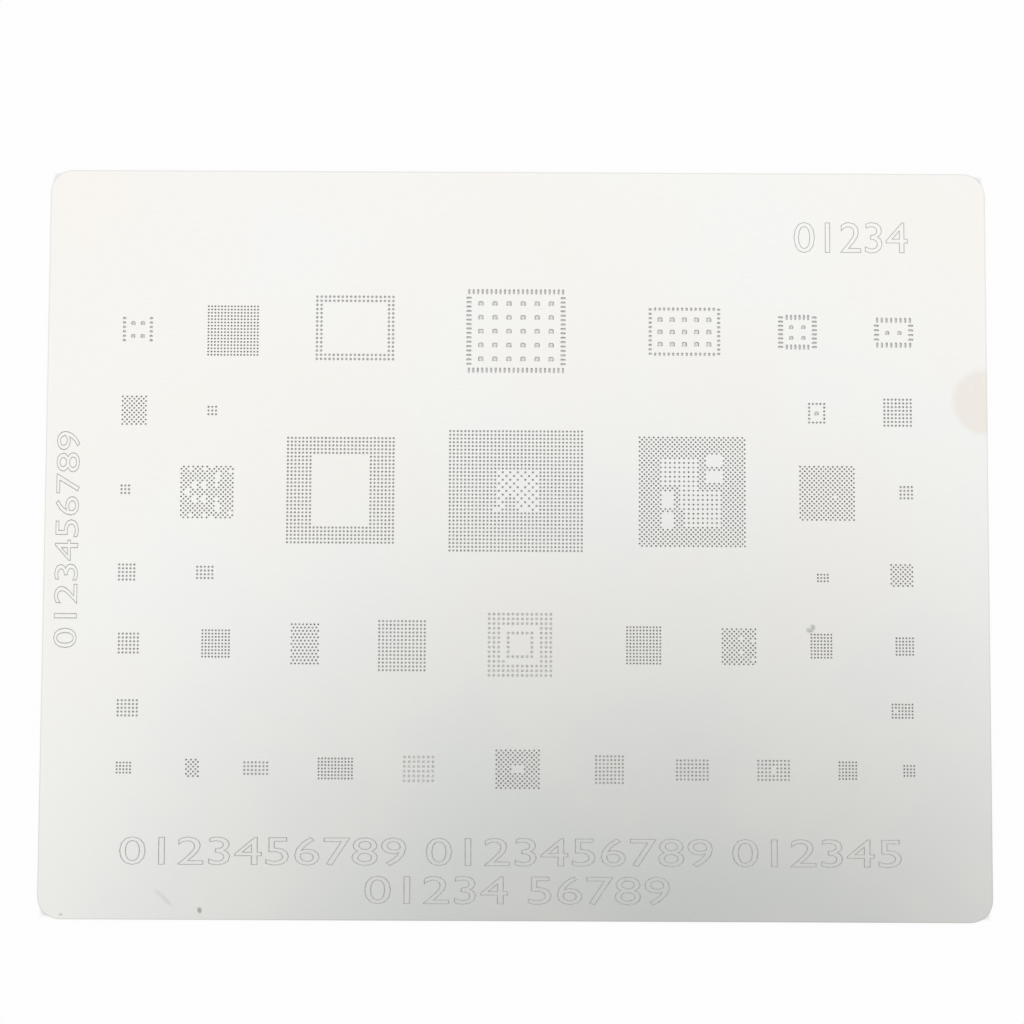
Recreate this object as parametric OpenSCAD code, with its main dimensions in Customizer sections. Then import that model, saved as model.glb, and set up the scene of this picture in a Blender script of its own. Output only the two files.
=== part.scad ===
// Reballing and solder paste stencil: one thin steel sheet with many fields of fine apertures.
// The sheet lies flat, its long side along X, with the origin below its centre on the table.

/* [Sheet] */
// Length of the sheet, along X
sheet_l = 100; // [96:1:130]
// Width of the sheet, along Y
sheet_w = 80; // [60:1:110]
// Thickness of the sheet
sheet_t = 0.12; // [0.08:0.01:0.2]
// Radius of the sheet's corners
corner_r = 2.4; // [0.5:0.1:6]

/* [Lands] */
// How far the ground land round each field lies below the sheet's faces
land_depth = 0.005; // [0.003:0.001:0.01]

/* [Ball pitches] */
// Pitch of the finest fields
fine_pitch = 0.35; // [0.33:0.01:0.36]
// Pitch of the commonest fields
mid_pitch = 0.4; // [0.38:0.01:0.41]
// Pitch of the ring field in the top row
broad_pitch = 0.45; // [0.42:0.01:0.48]
// Pitch of the coarsest fields
coarse_pitch = 0.5; // [0.48:0.01:0.52]

/* [Ball apertures] */
// Diameter of the apertures at the finest pitch
fine_d = 0.21; // [0.16:0.01:0.26]
// Diameter of the apertures at the commonest pitch
mid_d = 0.24; // [0.18:0.01:0.3]
// Diameter of the apertures of the broad ring field
broad_d = 0.28; // [0.2:0.01:0.34]
// Diameter of the apertures at the coarsest pitch
coarse_d = 0.32; // [0.24:0.01:0.38]

/* [Pad apertures] */
// Length of the long pads
slot_l = 0.58; // [0.45:0.01:0.6]
// Width of the long pads
slot_w = 0.24; // [0.16:0.01:0.3]
// Length of the short pads
pad_l = 0.38; // [0.32:0.01:0.42]
// Width of the short pads
pad_w = 0.26; // [0.18:0.01:0.3]
// Side of the large heat pad windows
window_side = 0.54; // [0.4:0.01:0.6]
// Side of the small heat pad windows
small_window_side = 0.46; // [0.36:0.01:0.5]

/* [Rows of fields] */
// Height of the first row of fields above the sheet's middle
row_1_y = 22.7; // [22:0.1:24]
// Height of the second row
row_2_y = 13.95; // [13.5:0.1:14.5]
// Height of the third row, with the large processor fields
row_3_y = 5.45; // [5:0.05:6]
// Height of the fourth row
row_4_y = -3.4; // [-4:0.1:-3]
// Height of the fifth row
row_5_y = -10.95; // [-11.5:0.05:-10.5]
// Height of the sixth row
row_6_y = -17.8; // [-18.3:0.1:-17.5]
// Height of the last row
row_7_y = -24.1; // [-25:0.1:-23.5]

/* [Hidden] */
$fn = 24;
turned_pitch = fine_pitch * sqrt(2); // column pitch of a fine field that is turned by 45 degrees
hex_rise = mid_pitch * sqrt(3) / 2; // row pitch of a hexagonal field
rib = 0.012; // width of the hairline ribs between the strips of a large land

everywhere = function(c, r) true;
function listed(c, r, spots) = len([for (s = spots) if (s == [c, r]) s]) > 0;
function within(value, low, high) = value >= low && value <= high;

// Points of a square field, centred on the origin. Row 0 is the top one.
function square_points(cols, rows, pitch, keep = everywhere) = [
    for (r = [0:rows - 1], c = [0:cols - 1])
        if (keep(c, r)) [c - (cols - 1) / 2, (rows - 1) / 2 - r] * pitch
];

// Points of a field whose odd rows lie half a column to the side. With lean 0 the odd rows are one
// shorter, with lean 1 the even rows are, and with lean 0.5 all rows have the same count.
function turned_points(cols, rows, pitch, rise, lean = 0, keep = everywhere) = [
    for (r = [0:rows - 1])
        let (odd = r % 2,
             short = lean == 0.5 ? 0 : lean == 0 ? odd : 1 - odd,
             shift = lean == 0.5 ? odd / 2 - 0.25 : short / 2)
        for (c = [0:cols - 1 - short])
            if (keep(c, r))
                [(c - (cols - 1) / 2 + shift) * pitch, ((rows - 1) / 2 - r) * rise]
];

// A field with its land of the given size, in one or more strips. Its children are its apertures,
// which are drawn instead of the land while $apertures is true.
module field(x, y, size, strips = 1) {
    height = size.y / strips;
    translate([x, y])
        if ($apertures) children();
        else for (i = [0:strips - 1]) translate([0, (i - (strips - 1) / 2) * height])
            square([size.x, height - rib], center = true);
}

module balls(points, d) {
    for (p = points) translate(p) circle(d = d);
}

module square_balls(x, y, cols, rows, pitch, d, keep = everywhere, strips = 1) {
    field(x, y, [cols, rows] * pitch, strips) balls(square_points(cols, rows, pitch, keep), d);
}

module turned_balls(x, y, cols, rows, lean = 0, keep = everywhere, strips = 1) {
    rise = turned_pitch / 2;
    field(x, y, [cols * turned_pitch + (lean == 0.5 ? rise : 0), rows * rise], strips)
        balls(turned_points(cols, rows, turned_pitch, rise, lean, keep), fine_d);
}

// A rounded pad along X, of length l and width w
module pad(l, w) {
    square([l - w, w], center = true);
    for (side = [-1, 1]) translate([side * (l - w) / 2, 0]) circle(d = w);
}

// Pads along X in two columns, gap_x apart, with count pads a column
module side_pads(gap_x, count, pitch, l, w) {
    for (side = [-1, 1], i = [0:count - 1])
        translate([side * gap_x / 2, (i - (count - 1) / 2) * pitch]) pad(l, w);
}

module windows(cols, rows, pitch_x, pitch_y, side) {
    for (c = [0:cols - 1], r = [0:rows - 1])
        translate([(c - (cols - 1) / 2) * pitch_x, (r - (rows - 1) / 2) * pitch_y])
            square(side, center = true);
}

// Field for a flat pack: pads on four sides, counted along X and Y, round a block of windows
module flat_pack(x, y, size, counts, pitch, l, w) {
    field(x, y, size + [1, 1] * (l + 0.3)) {
        side_pads(size.x, counts.y, pitch, l, w);
        rotate(90) side_pads(size.y, counts.x, pitch, l, w);
        children();
    }
}

module row_1() {
    field(-40.45, row_1_y, [3.6, 3]) {
        side_pads(2.86, 6, 0.48, pad_l, pad_w);
        windows(2, 2, 1, 1.4, small_window_side);
    }
    square_balls(-30.3, row_1_y - 0.1, 16, 16, fine_pitch, fine_d);
    square_balls(-17.3, row_1_y + 0.25, 19, 16, broad_pitch, broad_d,
        function(c, r) c < 2 || c > 16 || r < 2 || r > 13);
    flat_pack(-0.15, row_1_y, [10.04, 8.5], [22, 16], 0.477, slot_l, slot_w)
        windows(6, 5, 1.5, 1.5, window_side);
    flat_pack(17.8, row_1_y, [7.3, 4.88], [14, 11], 0.48, pad_l, pad_w)
        windows(5, 3, 1.3, 1.33, window_side);
    flat_pack(29.85, row_1_y, [3.6, 3.22], [6, 8], 0.457, slot_l, slot_w)
        windows(2, 2, 1.3, 1.16, small_window_side);
    flat_pack(40.1, row_1_y, [3.66, 2.69], [8, 4], 0.5, slot_l, slot_w)
        windows(2, 1, 1.3, 0, small_window_side);
}

module row_2() {
    turned_balls(-40.7, row_2_y, 6, 13);
    square_balls(-32.4, row_2_y, 3, 3, mid_pitch, mid_d);
    field(31.85, row_2_y, [5, 6] * mid_pitch) {
        balls(square_points(5, 6, mid_pitch, function(c, r) c % 4 == 0 || r % 5 == 0), mid_d);
        square(small_window_side, center = true);
    }
    square_balls(40.45, row_2_y + 0.1, 8, 8, mid_pitch, mid_d);
}

// Gaps of the left turned field, which is the same above and below its middle row
left_gaps = [[6, 0], [2, 1], [5, 1], [10, 2], [8, 3], [7, 4], [8, 5], [7, 6], [3, 7], [5, 7],
             [2, 8], [4, 8], [7, 8], [3, 9], [5, 9], [1, 10], [1, 11]];
left_keep = function(c, r) !listed(c, min(r, 22 - r), left_gaps);

// The processor field is a chequerboard at its heart, with a full patch at the heart's foot
heart_keep = function(c, r)
    let (heart = c > 12 && c < 24 && r > 10 && r < 22, patch = c > 14 && c < 18 && r > 17)
    (!heart || patch || (c + r) % 2 == 1) && !listed(c, r, [[19, 14], [12, 21], [20, 21]]);

// The turned processor field has two pairs of blank patches, and two blocks whose even rows are blank
patch_keep = function(c, r)
    let (odd = r % 2,
         upper_patch = within(c, 15 - odd, 17) && (within(r, 8, 12) || within(r, 15, 19)),
         lower_patch = within(c, 5, 7 - odd) && (within(r, 24, 30) || within(r, 33, 39)),
         upper_block = within(c, 5, 12) && within(r, 10, 20),
         neck = within(c, 9, 12) && r == 22,
         lower_block = within(r, 24, 30) && within(c, 9, 17) || within(r, 32, 38) && within(c, 10, 17))
    !upper_patch && !lower_patch && (odd == 1 || !(upper_block || neck || lower_block));

module row_3() {
    square_balls(-41.5, row_3_y, 3, 3, mid_pitch, mid_d);
    square_balls(41.3, row_3_y, 4, 4, mid_pitch, mid_d);
}

module row_4() {
    square_balls(-41.2, row_4_y, 5, 5, mid_pitch, mid_d);
    square_balls(-32.95, row_4_y, 5, 4, mid_pitch, mid_d);
    square_balls(32.4, row_4_y - 0.3, 4, 3, fine_pitch, fine_d);
    turned_balls(40.75, row_4_y, 5, 10, 0.5);
}

// The coarse field is a broad frame round a thin one, with one key aperture between them
ring_keep = function(c, r)
    let (frame = !(within(c, 3, 10) && within(r, 3, 10)),
         inner = within(c, 4, 9) && within(r, 4, 9) && !(within(c, 5, 8) && within(r, 5, 8)))
    frame || inner || (c == 3 && r == 10);

module row_5() {
    square_balls(-40.9, row_5_y, 6, 6, mid_pitch, mid_d);
    square_balls(-31.7, row_5_y, 9, 9, fine_pitch, fine_d);
    field(-22.3, row_5_y, [8 * mid_pitch, 13 * hex_rise])
        balls(turned_points(8, 13, mid_pitch, hex_rise), fine_d);
    square_balls(-12.05, row_5_y - 0.15, 13, 14, mid_pitch, mid_d);
    square_balls(0.4, row_5_y, 14, 14, coarse_pitch, coarse_d, ring_keep);
    square_balls(13.45, row_5_y, 11, 12, fine_pitch, fine_d);
    turned_balls(23.5, row_5_y - 0.1, 8, 16, 0,
        function(c, r) !listed(c, r, [[4, 4], [6, 5], [4, 10], [6, 13]]));
    square_balls(32.2, row_5_y, 7, 8, fine_pitch, fine_d);
    square_balls(41, row_5_y, 6, 6, fine_pitch, fine_d);
}

module row_6() {
    square_balls(-40.9, row_6_y, 6, 5, mid_pitch, mid_d);
    square_balls(40.7, row_6_y, 7, 5, fine_pitch, fine_d, function(c, r) !listed(c, r, [[1, 2]]));
}

module row_7() {
    square_balls(-41.2, row_7_y, 5, 4, fine_pitch, fine_d);
    turned_balls(-34, row_7_y, 3, 8, 0.5);
    square_balls(-27.3, row_7_y, 7, 4, mid_pitch, mid_d);
    square_balls(-18.95, row_7_y, 11, 7, fine_pitch, fine_d);
    square_balls(-10.2, row_7_y, 7, 6, coarse_pitch, coarse_d);
    turned_balls(0.2, row_7_y, 10, 17, 0,
        function(c, r) !(within(r, 7, 9) && within(c, 3 + (r + 1) % 2, 5)));
    square_balls(9.85, row_7_y, 8, 8, mid_pitch, mid_d);
    square_balls(18.55, row_7_y, 9, 6, mid_pitch, mid_d);
    square_balls(27.1, row_7_y, 9, 6, mid_pitch, mid_d, function(c, r) !(c == 4 && within(r, 2, 3)));
    square_balls(34.9, row_7_y, 6, 6, fine_pitch, fine_d);
    square_balls(41.35, row_7_y, 4, 4, fine_pitch, fine_d);
}

module all_fields() {
    row_1();
    row_2();
    row_3();
    row_4();
    row_5();
    row_6();
    row_7();
}

module sheet_outline() {
    square([sheet_l - 2 * corner_r, sheet_w], center = true);
    square([sheet_l, sheet_w - 2 * corner_r], center = true);
    for (x = [-1, 1], y = [-1, 1])
        translate([x * (sheet_l / 2 - corner_r), y * (sheet_w / 2 - corner_r)]) circle(r = corner_r);
}

module stencil_sheet() color("gainsboro") {
    linear_extrude(sheet_t) difference() {
        sheet_outline();
        all_fields($apertures = false);
    }
    translate([0, 0, land_depth]) linear_extrude(sheet_t - 2 * land_depth) difference() {
        all_fields($apertures = false);
        all_fields($apertures = true);
    }
}

stencil_sheet();
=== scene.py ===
import math

import bmesh
import bpy
from mathutils import Matrix, Quaternion, Vector


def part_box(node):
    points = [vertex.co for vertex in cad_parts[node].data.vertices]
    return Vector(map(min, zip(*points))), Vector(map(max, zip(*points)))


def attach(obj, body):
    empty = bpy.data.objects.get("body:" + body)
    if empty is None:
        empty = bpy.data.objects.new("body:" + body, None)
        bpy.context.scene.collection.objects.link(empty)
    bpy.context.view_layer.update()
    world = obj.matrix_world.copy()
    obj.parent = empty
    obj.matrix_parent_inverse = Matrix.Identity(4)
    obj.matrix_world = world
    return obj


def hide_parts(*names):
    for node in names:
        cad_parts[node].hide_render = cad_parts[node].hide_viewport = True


# Solder paste stencil: a thin steel sheet on a pale table, with plain numbers in its margins

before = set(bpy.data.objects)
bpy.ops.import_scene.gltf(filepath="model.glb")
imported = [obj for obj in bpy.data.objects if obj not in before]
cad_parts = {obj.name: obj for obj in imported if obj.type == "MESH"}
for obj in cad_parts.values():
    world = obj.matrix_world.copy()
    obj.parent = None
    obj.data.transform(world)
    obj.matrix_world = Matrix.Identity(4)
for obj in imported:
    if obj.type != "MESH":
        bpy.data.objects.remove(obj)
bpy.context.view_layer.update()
sheetLow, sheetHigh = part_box("stencil_sheet")
sheetTop = sheetHigh[2]


# Helpers that build the materials

def newMaterial(name):
    material = bpy.data.materials.new(name)
    material.use_nodes = True
    tree = material.node_tree
    tree.nodes.clear()
    return material, tree


def addNode(tree, kind, **settings):
    node = tree.nodes.new(kind)
    for key, value in settings.items():
        setattr(node, key, value)
    return node


def wire(tree, source, target):
    tree.links.new(source, target)


def mathNode(tree, operation, first, second=None, clamp=False):
    node = addNode(tree, "ShaderNodeMath", operation=operation, use_clamp=clamp)
    for slot, value in enumerate((first, second)):
        if value is None:
            continue
        if isinstance(value, (int, float)):
            node.inputs[slot].default_value = value
        else:
            wire(tree, value, node.inputs[slot])
    return node.outputs[0]


def rangeNode(tree, value, low, high, toLow=0.0, toHigh=1.0, smooth=True):
    node = addNode(tree, "ShaderNodeMapRange", clamp=True)
    node.interpolation_type = "SMOOTHSTEP" if smooth else "LINEAR"
    wire(tree, value, node.inputs["Value"])
    names = ("From Min", "From Max", "To Min", "To Max")
    for slot, number in zip(names, (low, high, toLow, toHigh)):
        node.inputs[slot].default_value = number
    return node.outputs[0]


def mixColour(tree, factor, first, second):
    node = addNode(tree, "ShaderNodeMix", data_type="RGBA", blend_type="MIX")
    for slot, value in ((0, factor), (6, first), (7, second)):
        if isinstance(value, (int, float)):
            node.inputs[slot].default_value = value
        elif isinstance(value, tuple):
            node.inputs[slot].default_value = (*value, 1)
        else:
            wire(tree, value, node.inputs[slot])
    return node.outputs[2]


def noiseNode(tree, vector, scale, detail=2.0, roughness=0.5, stretch=(1, 1, 1)):
    mapping = addNode(tree, "ShaderNodeMapping")
    mapping.inputs["Scale"].default_value = stretch
    noise = addNode(tree, "ShaderNodeTexNoise")
    noise.inputs["Scale"].default_value = scale
    noise.inputs["Detail"].default_value = detail
    noise.inputs["Roughness"].default_value = roughness
    wire(tree, vector, mapping.inputs["Vector"])
    wire(tree, mapping.outputs[0], noise.inputs["Vector"])
    return noise.outputs["Fac"]


# A metal's material, with its shader and the coordinates that its patterns read
def newMetal(name, metallic):
    material, tree = newMaterial(name)
    output = addNode(tree, "ShaderNodeOutputMaterial")
    shader = addNode(tree, "ShaderNodeBsdfPrincipled")
    shader.inputs["Metallic"].default_value = metallic
    wire(tree, shader.outputs[0], output.inputs["Surface"])
    place = addNode(tree, "ShaderNodeTexCoord").outputs["Object"]
    return material, tree, shader, place


# How far two offsets reach together
def reachNode(tree, first, second):
    return mathNode(tree, "SQRT", mathNode(tree, "ADD", mathNode(tree, "MULTIPLY", first, first),
                                           mathNode(tree, "MULTIPLY", second, second)))


# A soft blot round a place on the sheet, 1 at its heart and 0 past its rim
def blotNode(tree, x, y, centre, size, turn=0.0, soft=0.5):
    dx = mathNode(tree, "SUBTRACT", x, centre[0])
    dy = mathNode(tree, "SUBTRACT", y, centre[1])
    along = mathNode(tree, "ADD", mathNode(tree, "MULTIPLY", dx, math.cos(turn) / size[0]),
                     mathNode(tree, "MULTIPLY", dy, math.sin(turn) / size[0]))
    across = mathNode(tree, "ADD", mathNode(tree, "MULTIPLY", dx, -math.sin(turn) / size[1]),
                      mathNode(tree, "MULTIPLY", dy, math.cos(turn) / size[1]))
    return rangeNode(tree, reachNode(tree, along, across), 1 - soft, 1 + soft, 1, 0)


# The steel that the sheet is made of

steel = {
    "roughness": (0.11, 0.14),
    "cool": (0.945, 0.938, 0.920),
    "warm": (0.965, 0.938, 0.900),
    "cloudScale": 45,               # slow drift from the cool tone to the warm one
    "grainScale": 9000,             # rolled grain, in features per metre
    "grainStretch": (0.12, 1, 1),   # drawn out along the sheet
    "grainTone": (0.70, 0.70, 0.70),
    "grainShare": 0.09,
    "grainDepth": 0.000002,
    "grainBump": 0.25,
    "cornerRadius": 0.0024,
    "edgeShadeWidth": 0.00016,           # painted shade: the rim is a little darker, standing in for the thin shadow line along the sheet's edge
    "edgeShadeFull": 0.00004,
    "edgeShadeTone": (0.5, 0.5, 0.5),
    "edgeShadeShare": 0.3,
    "patchScale": 900,              # the noise that breaks up the marks
    "marks": [
        # a finger mark at the right
        {"centre": (0.0495, 0.0152), "size": (0.0031, 0.0034), "turn": 0.15, "soft": 0.15,
         "patchy": (0.15, 0.45), "strength": 0.8, "colour": (0.885, 0.82, 0.765)},
        # a rubbed spot
        {"centre": (0.0311, -0.0091), "size": (0.00045, 0.00038), "turn": 0.6, "soft": 0.5,
         "patchy": (0.35, 0.6), "strength": 0.8, "colour": (0.4, 0.4, 0.4)},
        # a speck and a faint smear near the front edge
        {"centre": (-0.0330, -0.0390), "size": (0.00022, 0.0003), "turn": 0.3, "soft": 0.5,
         "patchy": (0.1, 0.3), "strength": 0.7, "colour": (0.32, 0.30, 0.27)},
        {"centre": (-0.0368, -0.0377), "size": (0.0011, 0.00022), "turn": -0.75, "soft": 0.6,
         "patchy": (0.3, 0.6), "strength": 0.3, "colour": (0.55, 0.54, 0.5)},
        # a speck at the corner
        {"centre": (-0.0475, -0.0395), "size": (0.00018, 0.00012), "turn": 0, "soft": 0.5,
         "patchy": (0.1, 0.3), "strength": 0.5, "colour": (0.4, 0.38, 0.34)},
    ],
}


def makeSteel():
    material, tree, shader, place = newMetal("stencilSteel", 1)
    split = addNode(tree, "ShaderNodeSeparateXYZ")
    wire(tree, place, split.inputs[0])
    x, y = split.outputs[0], split.outputs[1]

    grain = noiseNode(tree, place, steel["grainScale"], 3, 0.6, steel["grainStretch"])
    cloud = noiseNode(tree, place, steel["cloudScale"], 3, 0.5)
    colour = mixColour(tree, rangeNode(tree, cloud, 0.35, 0.65), steel["cool"], steel["warm"])
    grainMask = rangeNode(tree, grain, 0.3, 0.7, 0.0, steel["grainShare"])
    colour = mixColour(tree, grainMask, colour, steel["grainTone"])

    # marks of handling
    patch = noiseNode(tree, place, steel["patchScale"], 3, 0.7)
    for mark in steel["marks"]:
        blot = blotNode(tree, x, y, mark["centre"], mark["size"], mark["turn"], mark["soft"])
        low, high = mark["patchy"]
        blot = mathNode(tree, "MULTIPLY", blot, rangeNode(tree, patch, low, high))
        blot = mathNode(tree, "MULTIPLY", blot, mark["strength"])
        colour = mixColour(tree, blot, colour, mark["colour"])

    # the rim's painted shade, measured outwards from the straight runs and the corners' centres
    corner = steel["cornerRadius"]
    inset = mathNode(tree, "SUBTRACT", mathNode(tree, "ABSOLUTE", x), sheetHigh[0] - corner)
    drop = mathNode(tree, "SUBTRACT", mathNode(tree, "ABSOLUTE", y), sheetHigh[1] - corner)
    inset = mathNode(tree, "MAXIMUM", inset, 0.0)
    drop = mathNode(tree, "MAXIMUM", drop, 0.0)
    outward = reachNode(tree, inset, drop)
    # painted shade: the top face darkens just inside its outline, where the edge's shadow line would fall
    rim = rangeNode(tree, outward, corner - steel["edgeShadeWidth"], corner - steel["edgeShadeFull"])
    rim = mathNode(tree, "MULTIPLY", rim, steel["edgeShadeShare"])
    colour = mixColour(tree, rim, colour, steel["edgeShadeTone"])

    wire(tree, colour, shader.inputs["Base Color"])
    low, high = steel["roughness"]
    wire(tree, rangeNode(tree, cloud, 0.3, 0.7, low, high), shader.inputs["Roughness"])
    bump = addNode(tree, "ShaderNodeBump")
    bump.inputs["Strength"].default_value = steel["grainBump"]
    bump.inputs["Distance"].default_value = steel["grainDepth"]
    wire(tree, grain, bump.inputs["Height"])
    wire(tree, bump.outputs[0], shader.inputs["Normal"])
    return material


cutSteel = {                       # the apertures' walls, dark and matt
    "metallic": 0.4,
    "roughness": 0.7,
    "speckleScale": 4000,
    "tones": ((0.02, 0.02, 0.02), (0.05, 0.05, 0.05)),
}
etchedSteel = {                    # the numbers, a matt grey
    "metallic": 1,
    "roughness": 0.5,
    "speckleScale": 6000,
    "tones": ((0.42, 0.42, 0.42), (0.6, 0.6, 0.6)),
}


def makeMattSteel(name, finish):
    material, tree, shader, place = newMetal(name, finish["metallic"])
    shader.inputs["Roughness"].default_value = finish["roughness"]
    speckle = noiseNode(tree, place, finish["speckleScale"], 2, 0.6)
    dark, light = finish["tones"]
    colour = mixColour(tree, rangeNode(tree, speckle, 0.3, 0.7), dark, light)
    wire(tree, colour, shader.inputs["Base Color"])
    return material


# The sheet itself, with every field of apertures, in millimetres until makePlate scales it

plate = {
    "corner": 2.4,
    "cornerSteps": 8,
    "margin": 1,                         # walls nearer the outline than this are the sheet's own rim
    "steep": 0.99,                       # a face whose normal is more upright than this isn't a wall
    "ballSides": 7,
    "padSteps": 3,                       # segments of a pad's round end, per quarter
    "pitch": {"fine": 0.35, "mid": 0.4, "broad": 0.45, "coarse": 0.5},
    "ball": {"fine": 0.21, "mid": 0.24, "broad": 0.28, "coarse": 0.32},
    "slot": (0.58, 0.24),                # a pad's length and width
    "pad": (0.38, 0.26),
    "window": 0.54,
    "smallWindow": 0.46,
    "taper": 0.055,                      # how much an aperture narrows on each side, top to underside
    "windowTaper": 0.09,
    "rows": (22.7, 13.95, 5.45, -3.4, -10.95, -17.8, -24.1),     # middles of the rows of fields
}
row1, row2, row3, row4, row5, row6, row7 = plate["rows"]
finePitch = plate["pitch"]["fine"]
midPitch = plate["pitch"]["mid"]
turnedPitch = finePitch * math.sqrt(2)
sideAngle = 2 * math.pi / plate["ballSides"]
evenArea = math.sqrt(sideAngle / math.sin(sideAngle))      # makes a polygon as open as a round hole


def everywhere(c, r):
    return True


def squareSpots(cols, rows, pitch, keep=everywhere):
    return [((c - (cols - 1) / 2) * pitch, ((rows - 1) / 2 - r) * pitch)
            for r in range(rows) for c in range(cols) if keep(c, r)]


# Every other row lies half a column aside: lean 0 shortens the odd rows, 1 the even rows, 0.5 none
def turnedSpots(cols, rows, pitch, rise, lean=0, keep=everywhere):
    spots = []
    for r in range(rows):
        odd = r % 2
        short = 0 if lean == 0.5 else (odd if lean == 0 else 1 - odd)
        shift = odd / 2 - 0.25 if lean == 0.5 else short / 2
        spots += [((c - (cols - 1) / 2 + shift) * pitch, ((rows - 1) / 2 - r) * rise)
                  for c in range(cols - short) if keep(c, r)]
    return spots


def within(value, low, high):
    return low <= value <= high


leftGaps = {(6, 0), (2, 1), (5, 1), (10, 2), (8, 3), (7, 4), (8, 5), (7, 6), (3, 7), (5, 7),
            (2, 8), (4, 8), (7, 8), (3, 9), (5, 9), (1, 10), (1, 11)}


def keepLeft(c, r):
    return (c, min(r, 22 - r)) not in leftGaps


def keepHeart(c, r):
    heart = 12 < c < 24 and 10 < r < 22
    patch = 14 < c < 18 and r > 17
    return (not heart or patch or (c + r) % 2 == 1) and (c, r) not in {(19, 14), (12, 21), (20, 21)}


def keepPatches(c, r):
    odd = r % 2
    upperPatch = within(c, 15 - odd, 17) and (within(r, 8, 12) or within(r, 15, 19))
    lowerPatch = within(c, 5, 7 - odd) and (within(r, 24, 30) or within(r, 33, 39))
    upperBlock = within(c, 5, 12) and within(r, 10, 20)
    neck = within(c, 9, 12) and r == 22
    lowerBlock = (within(r, 24, 30) and within(c, 9, 17)) or (within(r, 32, 38) and within(c, 10, 17))
    thinned = odd == 0 and (upperBlock or neck or lowerBlock)
    return not (upperPatch or lowerPatch or thinned)


def keepRing(c, r):
    frameRing = not (within(c, 3, 10) and within(r, 3, 10))
    inner = within(c, 4, 9) and within(r, 4, 9) and not (within(c, 5, 8) and within(r, 5, 8))
    return frameRing or inner or (c == 3 and r == 10)


def keepHole(columns, holeRows):
    return lambda c, r: not (within(c, *columns) and within(r, *holeRows))


squareFields = [                 # middle, columns and rows, pitch, places kept
    (-30.3, row1 - 0.1, 16, 16, "fine", everywhere),
    (-17.3, row1 + 0.25, 19, 16, "broad", keepHole((2, 16), (2, 13))),
    (-32.4, row2, 3, 3, "mid", everywhere),
    (31.85, row2, 5, 6, "mid", keepHole((1, 3), (1, 4))),
    (40.45, row2 + 0.1, 8, 8, "mid", everywhere),
    (-41.5, row3, 3, 3, "mid", everywhere),
    (-18.7, row3, 29, 29, "mid", keepHole((7, 21), (5, 23))),
    (-0.1, row3, 36, 33, "mid", keepHeart),
    (41.3, row3, 4, 4, "mid", everywhere),
    (-41.2, row4, 5, 5, "mid", everywhere),
    (-32.95, row4, 5, 4, "mid", everywhere),
    (32.4, row4 - 0.3, 4, 3, "fine", everywhere),
    (-40.9, row5, 6, 6, "mid", everywhere),
    (-31.7, row5, 9, 9, "fine", everywhere),
    (-12.05, row5 - 0.15, 13, 14, "mid", everywhere),
    (0.4, row5, 14, 14, "coarse", keepRing),
    (13.45, row5, 11, 12, "fine", everywhere),
    (32.2, row5, 7, 8, "fine", everywhere),
    (41, row5, 6, 6, "fine", everywhere),
    (-40.9, row6, 6, 5, "mid", everywhere),
    (40.7, row6, 7, 5, "fine", keepHole((1, 1), (2, 2))),
    (-41.2, row7, 5, 4, "fine", everywhere),
    (-27.3, row7, 7, 4, "mid", everywhere),
    (-18.95, row7, 11, 7, "fine", everywhere),
    (-10.2, row7, 7, 6, "coarse", everywhere),
    (9.85, row7, 8, 8, "mid", everywhere),
    (18.55, row7, 9, 6, "mid", everywhere),
    (27.1, row7, 9, 6, "mid", keepHole((4, 4), (2, 3))),
    (34.9, row7, 6, 6, "fine", everywhere),
    (41.35, row7, 4, 4, "fine", everywhere),
]
turnedFields = [                 # middle, columns and rows, lean, places kept
    (-40.7, row2, 6, 13, 0, everywhere),
    (-32.85, row3 - 0.25, 12, 23, 1, keepLeft),
    (18.6, row3, 23, 48, 0.5, keepPatches),
    (32.9, row3 - 0.1, 12, 24, 0.5, keepHole((7, 7), (13, 13))),
    (40.75, row4, 5, 10, 0.5, everywhere),
    (23.5, row5 - 0.1, 8, 16, 0, lambda c, r: (c, r) not in {(4, 4), (6, 5), (4, 10), (6, 13)}),
    (-34, row7, 3, 8, 0.5, everywhere),
    (0.2, row7, 10, 17, 0, lambda c, r: not (within(r, 7, 9) and within(c, 3 + (r + 1) % 2, 5))),
]
flatPacks = [                    # middle, gaps between pad columns and rows, counts, pitch, pad, windows
    (-0.15, row1, (10.04, 8.5), (22, 16), 0.477, "slot", (6, 5, 1.5, 1.5, "window")),
    (17.8, row1, (7.3, 4.88), (14, 11), 0.48, "pad", (5, 3, 1.3, 1.33, "window")),
    (29.85, row1, (3.6, 3.22), (6, 8), 0.457, "slot", (2, 2, 1.3, 1.16, "smallWindow")),
    (40.1, row1, (3.66, 2.69), (8, 4), 0.5, "slot", (2, 1, 1.3, 0, "smallWindow")),
    (-40.45, row1, (2.86, 0), (0, 6), 0.48, "pad", (2, 2, 1, 1.4, "smallWindow")),
    (31.85, row2, (0, 0), (0, 0), 0, "pad", (1, 1, 0, 0, "smallWindow")),
]


# A cutter that passes right through the sheet. It narrows downwards more than real cutting leaves it,
# so that the dark walls show as rims. The radius holds at the top face
def addCutter(cutters, radius, sides, place, depth, taper=plate["taper"], lengthen=0):
    made = bmesh.ops.create_cone(cutters, cap_ends=True, cap_tris=False, segments=sides, depth=2 * depth,
                                 radius1=radius - 1.5 * taper, radius2=radius + 0.5 * taper)
    if lengthen:
        for vert in made["verts"]:
            vert.co.x += math.copysign(lengthen / 2, vert.co.x) if abs(vert.co.x) > 1e-6 else 0
    lifted = place @ Matrix.Translation((0, 0, depth / 2))
    bmesh.ops.transform(cutters, verts=made["verts"], matrix=lifted)


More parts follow.
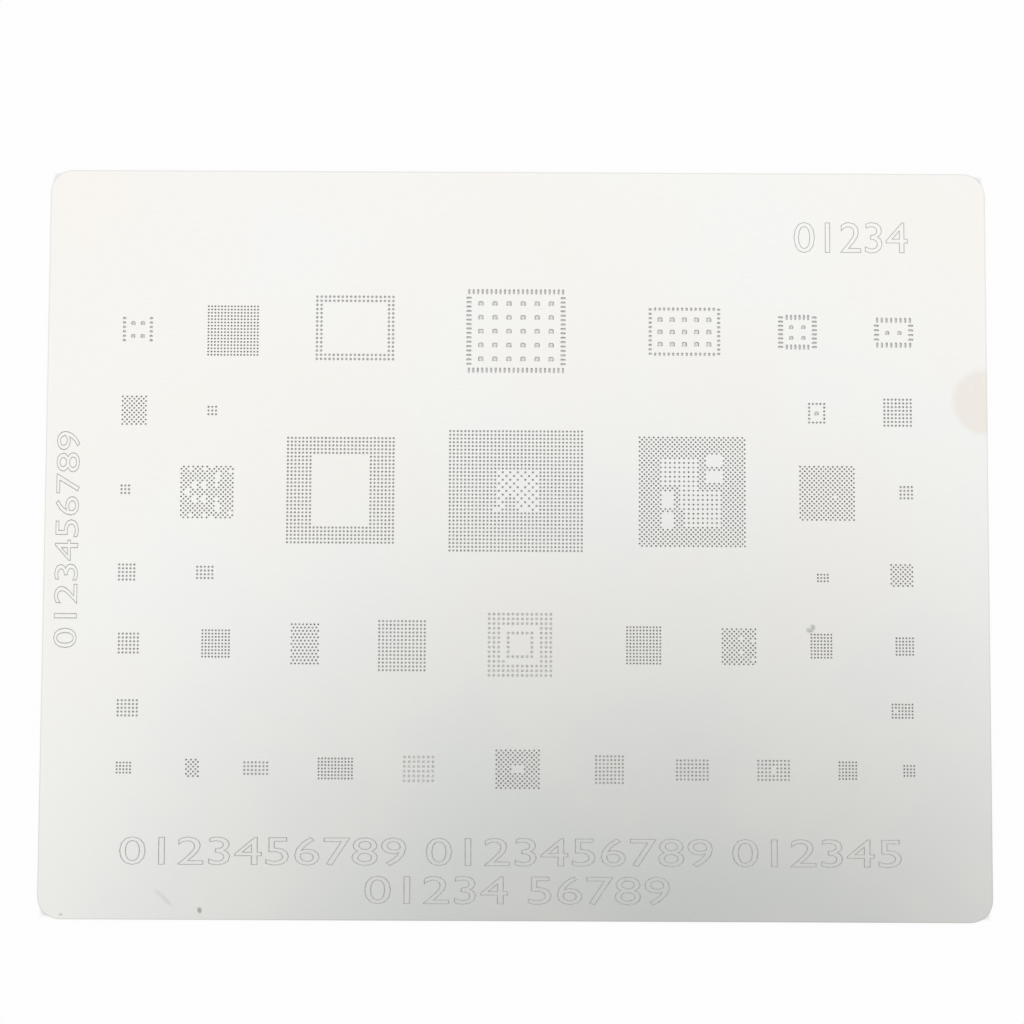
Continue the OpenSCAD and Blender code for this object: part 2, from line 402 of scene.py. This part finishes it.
def addBalls(cutters, x, y, spots, diameter, depth):
    for dx, dy in spots:
        place = Matrix.Translation((x + dx, y + dy, 0))
        addCutter(cutters, diameter / 2 * evenArea, plate["ballSides"], place, depth)


def addPads(cutters, x, y, middles, size, turn, depth):
    length, width = size
    for dx, dy in middles:
        place = Matrix.Translation((x + dx, y + dy, 0)) @ Matrix.Rotation(turn, 4, "Z")
        addCutter(cutters, width / 2, plate["padSteps"] * 4, place, depth, lengthen=length - width)


def addWindows(cutters, x, y, cols, rows, pitchX, pitchY, side, depth):
    for c in range(cols):
        for r in range(rows):
            spot = (x + (c - (cols - 1) / 2) * pitchX, y + (r - (rows - 1) / 2) * pitchY, 0)
            place = Matrix.Translation(spot) @ Matrix.Rotation(math.pi / 4, 4, "Z")
            addCutter(cutters, side / math.sqrt(2), 4, place, depth, plate["windowTaper"] * math.sqrt(2))


# One field is cut out of its own small mesh, which keeps the operators quick
def addField(cutters, add, *facts):
    field = bmesh.new()
    add(field, *facts)
    part = bpy.data.meshes.new("part")
    field.to_mesh(part)
    field.free()
    cutters.from_mesh(part)
    bpy.data.meshes.remove(part)


def makePlate():
    length, width, depth = [(high - low) * 1000 for low, high in zip(sheetLow, sheetHigh)]
    blank = bmesh.new()
    bmesh.ops.create_cube(blank, size=1)
    bmesh.ops.scale(blank, verts=blank.verts, vec=(length, width, depth))
    bmesh.ops.translate(blank, verts=blank.verts, vec=(0, 0, depth / 2))
    upright = [edge for edge in blank.edges if abs(edge.verts[0].co.z - edge.verts[1].co.z) > depth / 2]
    bmesh.ops.bevel(blank, geom=upright, offset=plate["corner"], segments=plate["cornerSteps"],
                    affect="EDGES", profile=0.5, material=-1)
    plateMesh = bpy.data.meshes.new("stencil_plate")
    blank.to_mesh(plateMesh)
    blank.free()

    cutters = bmesh.new()
    for x, y, cols, rows, kind, keep in squareFields:
        spots = squareSpots(cols, rows, plate["pitch"][kind], keep)
        addField(cutters, addBalls, x, y, spots, plate["ball"][kind], depth)
    for x, y, cols, rows, lean, keep in turnedFields:
        spots = turnedSpots(cols, rows, turnedPitch, turnedPitch / 2, lean, keep)
        addField(cutters, addBalls, x, y, spots, plate["ball"]["fine"], depth)
    spots = turnedSpots(8, 13, midPitch, midPitch * math.sqrt(3) / 2)
    addField(cutters, addBalls, -22.3, row5, spots, plate["ball"]["fine"], depth)
    for x, y, gaps, counts, pitch, kind, (cols, rows, pitchX, pitchY, windowKind) in flatPacks:
        across, down = counts
        columns = [(side * gaps[0] / 2, (i - (down - 1) / 2) * pitch)
                   for side in (-1, 1) for i in range(down)]
        ends = [((i - (across - 1) / 2) * pitch, side * gaps[1] / 2)
                for side in (-1, 1) for i in range(across)]
        addField(cutters, addPads, x, y, columns, plate[kind], 0, depth)
        addField(cutters, addPads, x, y, ends, plate[kind], math.pi / 2, depth)
        addField(cutters, addWindows, x, y, cols, rows, pitchX, pitchY, plate[windowKind], depth)
    cutterMesh = bpy.data.meshes.new("cutters")
    cutters.to_mesh(cutterMesh)
    cutters.free()

    holder = bpy.data.objects.new("stencil_plate", plateMesh)
    tool = bpy.data.objects.new("cutters", cutterMesh)
    bpy.context.scene.collection.objects.link(holder)
    bpy.context.scene.collection.objects.link(tool)
    cut = holder.modifiers.new("apertures", "BOOLEAN")
    cut.operation = "DIFFERENCE"
    cut.solver = "MANIFOLD"
    cut.object = tool
    depsgraph = bpy.context.evaluated_depsgraph_get()
    finished = bpy.data.meshes.new_from_object(holder.evaluated_get(depsgraph))
    holder.modifiers.clear()
    bpy.data.objects.remove(tool)

    shape = bmesh.new()
    shape.from_mesh(finished)
    bmesh.ops.triangulate(shape, faces=shape.faces[:])
    maxX, maxY = length / 2 - plate["margin"], width / 2 - plate["margin"]
    for face in shape.faces:             # the apertures' walls take the cut steel
        middle = face.calc_center_median()
        inside = abs(middle.x) < maxX and abs(middle.y) < maxY
        face.material_index = 1 if inside and abs(face.normal.z) < plate["steep"] else 0
    bmesh.ops.scale(shape, verts=shape.verts, vec=(0.001, 0.001, 0.001))
    openEdges = sum(1 for edge in shape.edges if len(edge.link_faces) != 2)
    shape.to_mesh(finished)
    print(f"plate: {len(shape.faces)} triangles, {openEdges} open edges")
    shape.free()
    finished.materials.clear()
    holder.data = finished
    return holder


# The plain numbers in the margins, whose outlines stand a little proud of the sheet

etching = {
    "lineRadius": 0.000035,
    "proud": 0.000003,
    "digitShare": 0.7,             # a digit's height as a share of the type size
    "curveSteps": 3,
    "rows": [                      # text, centre, height of a digit, width of the row, turn
        ("0123456789 0123456789 012345", (-0.0005, -0.0328), 0.0029, 0.082, 0),
        ("01234 56789", (0.0002, -0.0368), 0.0029, 0.032, 0),
        ("01234", (0.0356, 0.0330), 0.0033, 0.0122, 0),
        ("0123456789", (-0.0476, 0.0001), 0.0024, 0.0232, 90),
    ],
}


def makeNumbers(index, text, centre, height, width, turn, material):
    curve = bpy.data.curves.new("numbers", "FONT")
    curve.body = text
    curve.align_x = "CENTER"
    curve.align_y = "CENTER"
    curve.size = height / etching["digitShare"]
    curve.fill_mode = "NONE"
    curve.bevel_depth = etching["lineRadius"]
    curve.bevel_resolution = 0
    curve.resolution_u = etching["curveSteps"]
    holder = bpy.data.objects.new("numbers", curve)
    bpy.context.scene.collection.objects.link(holder)
    depsgraph = bpy.context.evaluated_depsgraph_get()
    mesh = bpy.data.meshes.new_from_object(holder.evaluated_get(depsgraph))
    bpy.data.objects.remove(holder)
    shape = bmesh.new()
    shape.from_mesh(mesh)
    xs = [v.co.x for v in shape.verts]
    ys = [v.co.y for v in shape.verts]
    middle = Vector(((max(xs) + min(xs)) / 2, (max(ys) + min(ys)) / 2, 0))
    bmesh.ops.translate(shape, verts=shape.verts, vec=-middle)
    fit = width / (max(xs) - min(xs))
    flat = etching["proud"] / etching["lineRadius"]
    bmesh.ops.scale(shape, verts=shape.verts, vec=(fit, 1, flat))
    spin = Matrix.Rotation(math.radians(turn), 3, "Z")
    bmesh.ops.rotate(shape, verts=shape.verts, cent=(0, 0, 0), matrix=spin)
    bmesh.ops.translate(shape, verts=shape.verts, vec=(*centre, sheetTop))
    shape.to_mesh(mesh)
    shape.free()
    mesh.materials.clear()
    mesh.materials.append(material)
    numbers = bpy.data.objects.new(f"etched_numbers_{index}", mesh)
    bpy.context.scene.collection.objects.link(numbers)
    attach(numbers, "root")


# The table and the camera

studio = {
    "floorDrop": 0.00006,          # the sheet lies loosely, so a little light gets under it
    "floorSize": 0.6,
    "floorColour": (0.9, 0.9, 0.9),
    "whiteFrom": (-0.0006, -0.0001),     # the table turns white just under the sheet's rim
    "whiteShare": 0.9,
    "lens": 150,
    "sensor": 36,
    "nearest": 0.01,
    "cameraPlace": (-0.00147, -0.06088, 0.44762),
    "cameraTarget": (-0.0005, 0.00322, 0),
    "cameraRoll": 0.01946,
}


def makeFloor():
    shape = bmesh.new()
    bmesh.ops.create_grid(shape, x_segments=1, y_segments=1, size=studio["floorSize"] / 2)
    bmesh.ops.translate(shape, verts=shape.verts, vec=(0, 0, -studio["floorDrop"]))
    mesh = bpy.data.meshes.new("table")
    shape.to_mesh(mesh)
    shape.free()
    floor = bpy.data.objects.new("table", mesh)
    bpy.context.scene.collection.objects.link(floor)

    material, tree = newMaterial("paleTable")
    output = addNode(tree, "ShaderNodeOutputMaterial")
    plain = addNode(tree, "ShaderNodeBsdfDiffuse")
    plain.inputs["Color"].default_value = (*studio["floorColour"], 1)
    glow = addNode(tree, "ShaderNodeEmission")
    glow.inputs["Color"].default_value = (1, 1, 1, 1)
    glow.inputs["Strength"].default_value = 1.0
    mix = addNode(tree, "ShaderNodeMixShader")
    place = addNode(tree, "ShaderNodeTexCoord").outputs["Object"]
    split = addNode(tree, "ShaderNodeSeparateXYZ")
    wire(tree, place, split.inputs[0])
    across = mathNode(tree, "SUBTRACT", mathNode(tree, "ABSOLUTE", split.outputs[0]), sheetHigh[0])
    along = mathNode(tree, "SUBTRACT", mathNode(tree, "ABSOLUTE", split.outputs[1]), sheetHigh[1])
    outside = mathNode(tree, "MAXIMUM", across, along)
    clear = rangeNode(tree, outside, *studio["whiteFrom"])
    ray = addNode(tree, "ShaderNodeLightPath")
    seen = mathNode(tree, "ADD", ray.outputs["Is Camera Ray"], ray.outputs["Is Glossy Ray"])
    seen = mathNode(tree, "ADD", seen, ray.outputs["Is Transmission Ray"], clamp=True)
    share = mathNode(tree, "MULTIPLY", mathNode(tree, "MULTIPLY", seen, clear), studio["whiteShare"])
    wire(tree, share, mix.inputs[0])
    wire(tree, plain.outputs[0], mix.inputs[1])
    wire(tree, glow.outputs[0], mix.inputs[2])
    wire(tree, mix.outputs[0], output.inputs["Surface"])
    mesh.materials.append(material)


# The light all comes from the sky, which has one dim spot for the sheet to mirror
sky = {
    "shadeFrom": (0.041, -0.030, 0.9987),    # the dim spot overhead, as a direction
    "reach": 0.29,
    "stops": [(0.0, 0.40), (0.27, 0.545), (0.32, 0.585), (0.425, 0.735), (0.505, 0.805),     # place, level
              (0.56, 0.88), (0.635, 0.955), (0.7, 0.985), (0.8, 1.0), (1.0, 1.0)],
    "dimTint": (0.95, 1.0, 1.0),
    "brightTint": (1.0, 0.995, 0.99),
}


def makeSky():
    world = bpy.data.worlds.new("studioSky")
    bpy.context.scene.world = world
    world.use_nodes = True
    tree = world.node_tree
    tree.nodes.clear()
    output = addNode(tree, "ShaderNodeOutputWorld")
    background = addNode(tree, "ShaderNodeBackground")
    wire(tree, background.outputs[0], output.inputs["Surface"])
    heading = addNode(tree, "ShaderNodeTexCoord").outputs["Generated"]
    away = addNode(tree, "ShaderNodeVectorMath", operation="DISTANCE")
    wire(tree, heading, away.inputs[0])
    away.inputs[1].default_value = sky["shadeFrom"]
    ramp = addNode(tree, "ShaderNodeValToRGB")
    wire(tree, rangeNode(tree, away.outputs["Value"], 0, sky["reach"], smooth=False), ramp.inputs[0])
    stops = ramp.color_ramp.elements
    while len(stops) > 1:
        stops.remove(stops[-1])
    for index, (position, level) in enumerate(sky["stops"]):
        stop = stops[0] if index == 0 else stops.new(position)
        stop.position = position
        tint = [a + (b - a) * position for a, b in zip(sky["dimTint"], sky["brightTint"])]
        stop.color = (*[level * part for part in tint], 1)
    wire(tree, ramp.outputs[0], background.inputs["Color"])
    background.inputs["Strength"].default_value = 1.0


def makeCamera():
    data = bpy.data.cameras.new("studioCamera")
    data.lens = studio["lens"]
    data.sensor_width = studio["sensor"]
    data.clip_start = studio["nearest"]
    camera = bpy.data.objects.new("studioCamera", data)
    bpy.context.scene.collection.objects.link(camera)
    camera.location = studio["cameraPlace"]
    look = Vector(studio["cameraTarget"]) - Vector(studio["cameraPlace"])
    roll = Quaternion((0, 0, 1), studio["cameraRoll"])
    camera.rotation_mode = "QUATERNION"
    camera.rotation_quaternion = look.to_track_quat("-Z", "Y") @ roll
    bpy.context.scene.camera = camera


# Put it together

bpy.context.scene.view_settings.view_transform = "Standard"

sheet = makePlate()
sheet.data.materials.append(makeSteel())
sheet.data.materials.append(makeMattSteel("cutSteel", cutSteel))
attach(sheet, "root")
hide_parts("stencil_sheet")
print("sheet: every field of apertures, in steel")

etched = makeMattSteel("etchedSteel", etchedSteel)
for index, row in enumerate(etching["rows"], start=1):
    makeNumbers(index, *row, etched)
print("margins: plain numbers")

makeFloor()
makeSky()
makeCamera()
print("studio: table, sky and camera")
